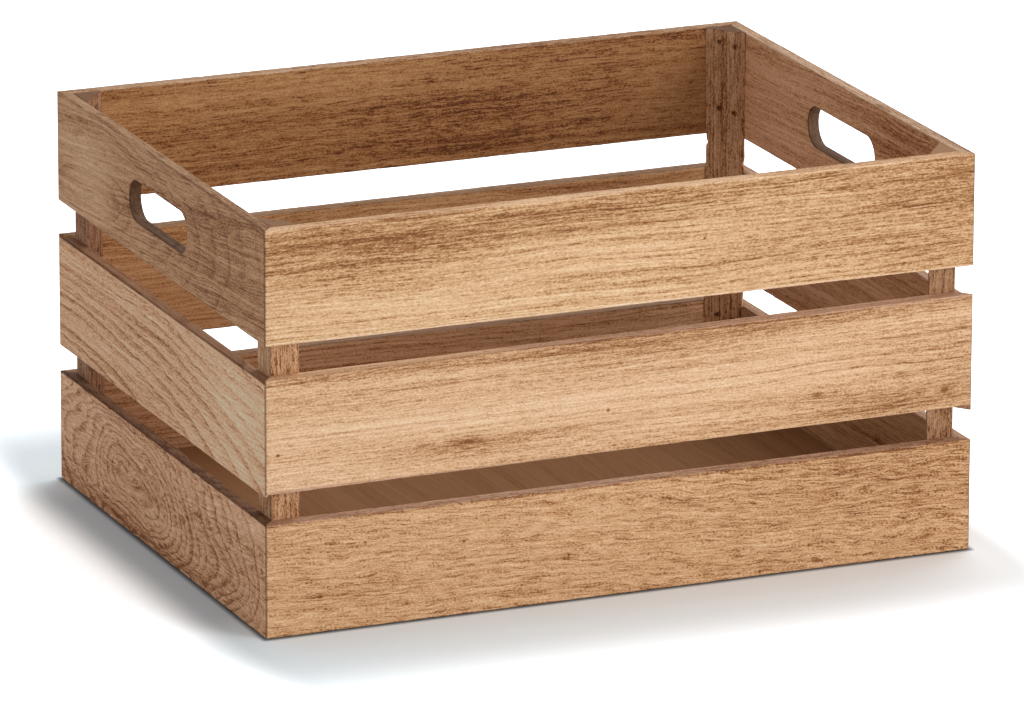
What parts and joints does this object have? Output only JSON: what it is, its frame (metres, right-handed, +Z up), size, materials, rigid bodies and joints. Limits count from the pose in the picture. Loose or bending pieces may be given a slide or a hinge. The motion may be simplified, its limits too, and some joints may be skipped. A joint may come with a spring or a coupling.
{
  "type": "wooden storage crate",
  "caption": "Open-topped rectangular wooden crate of slatted boards on corner posts, with hand holes in both ends and a flat floor, for storing and carrying things.",
  "frame": {"origin": "middle of the underside, on the surface that the crate stands on", "axes": "+X to the right along the long side, +Y to the back, +Z up"},
  "size_m": [0.4, 0.3036, 0.2174],
  "materials": {
    "board_wood": "thin brown stain, satin, open pores, eased edges",
    "post_wood": "thin brown stain over rough-sawn wood, matte",
    "floor_wood": "brown stain on smooth plywood, matte",
    "cleat_wood": "thin brown stain over sawn wood, matte",
    "brad_steel": "dull bare steel"
  },
  "bodies": {
    "root": {"front_top_board": "board_wood", "front_middle_board": "board_wood", "front_bottom_board": "board_wood", "back_top_board": "board_wood", "back_middle_board": "board_wood", "back_bottom_board": "board_wood", "left_top_board": "board_wood", "left_middle_board": "board_wood", "left_bottom_board": "board_wood", "right_top_board": "board_wood", "right_middle_board": "board_wood", "right_bottom_board": "board_wood", "front_left_post": "post_wood", "front_right_post": "post_wood", "back_left_post": "post_wood", "back_right_post": "post_wood", "front_left_brads": "brad_steel", "front_right_brads": "brad_steel", "back_left_brads": "brad_steel", "back_right_brads": "brad_steel", "floor_panel": "floor_wood", "front_cleat": "cleat_wood", "back_cleat": "cleat_wood", "left_cleat": "cleat_wood", "right_cleat": "cleat_wood", "front_cleat_brads": "brad_steel", "back_cleat_brads": "brad_steel", "left_cleat_brads": "brad_steel", "right_cleat_brads": "brad_steel"}
  },
  "joints": []
}
